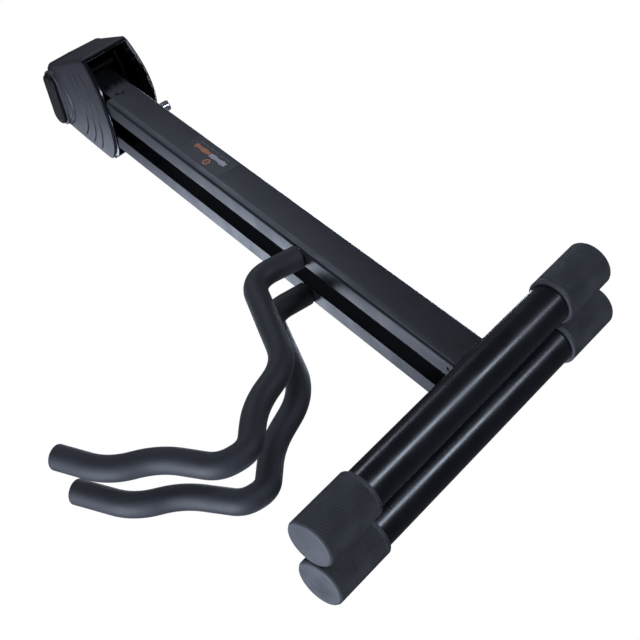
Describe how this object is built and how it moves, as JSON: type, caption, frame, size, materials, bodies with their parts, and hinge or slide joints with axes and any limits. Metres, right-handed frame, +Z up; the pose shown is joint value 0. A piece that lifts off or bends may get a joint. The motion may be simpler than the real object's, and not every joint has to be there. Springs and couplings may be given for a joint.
{
  "type": "guitar stand",
  "caption": "Folding A-frame floor stand for a guitar: two channel legs with tube feet, bent foam-covered cradle arms and a moulded head.",
  "frame": {"origin": "on the floor, under the middle of the folded stand's outline", "axes": "+Z up, +X towards the right leg, +Y to the back of the stand; the cradle arms reach towards -Y"},
  "size_m": [0.091, 0.3294, 0.5031],
  "materials": {
    "powder_steel": "satin black powder coat, fine orange peel",
    "gloss_steel": "gloss black powder coat",
    "cap_rubber": "matt black rubber, fine moulded ribs",
    "foam": "matt black closed-cell foam, soft skin",
    "nylon": "black nylon, moulded",
    "bronze": "sintered, oiled",
    "zinc_steel": "bright zinc plate",
    "shell_plastic": "fine matt moulding texture",
    "gloss_plastic": "polished black moulding",
    "pad_rubber": "matt soft rubber",
    "chrome": "polished chrome plate",
    "label": "printed satin foil"
  },
  "bodies": {
    "head": {"hinge_pin_right": "zinc_steel", "hinge_pin_left": "zinc_steel", "head_yoke": "gloss_steel", "spread_stops": "zinc_steel", "head_cover_front": "shell_plastic", "head_cover_rear": "shell_plastic", "head_liner": "gloss_plastic", "bumper_pad": "pad_rubber", "hinge_nuts": "zinc_steel", "hinge_washers": "nylon", "cover_screws": "zinc_steel"},
    "leg_right": {"leg_channel_right": "powder_steel", "foot_tube_right": "gloss_steel", "foot_cap_front_right": "cap_rubber", "foot_cap_rear_right": "cap_rubber", "arm_rod_right": "powder_steel", "arm_foam_right": "foam", "hinge_block_right": "nylon", "hinge_bush_right": "bronze", "block_rivets_right": "zinc_steel", "lock_barrel": "zinc_steel", "lock_spring": "zinc_steel", "label_plate": "label"},
    "leg_left": {"leg_channel_left": "powder_steel", "foot_tube_left": "gloss_steel", "foot_cap_front_left": "cap_rubber", "foot_cap_rear_left": "cap_rubber", "arm_rod_left": "powder_steel", "arm_foam_left": "foam", "hinge_block_left": "nylon", "hinge_bush_left": "bronze", "block_rivets_left": "zinc_steel"},
    "lock": {"lock_pin": "chrome", "lock_clip": "zinc_steel"}
  },
  "joints": [
    {"name": "leg_right_hinge", "type": "hinge", "parent": "head", "child": "leg_right", "pos_m": [0.0151, 0.12895, 0.46199], "axis": [0, -0.9903, 0.1392], "range_deg": [0, 20]},
    {"name": "leg_left_hinge", "type": "hinge", "parent": "head", "child": "leg_left", "pos_m": [-0.0151, 0.12895, 0.46199], "axis": [0, 0.9903, -0.1392], "range_deg": [0, 20]},
    {"name": "lock_pull", "type": "slide", "parent": "leg_right", "child": "lock", "axis": [0, 0.9728, -0.2317], "range_m": [0, 0.004], "stiffness_N_per_m": 200, "springref_m": -0.004, "deforming": ["lock_spring"]}
  ]
}
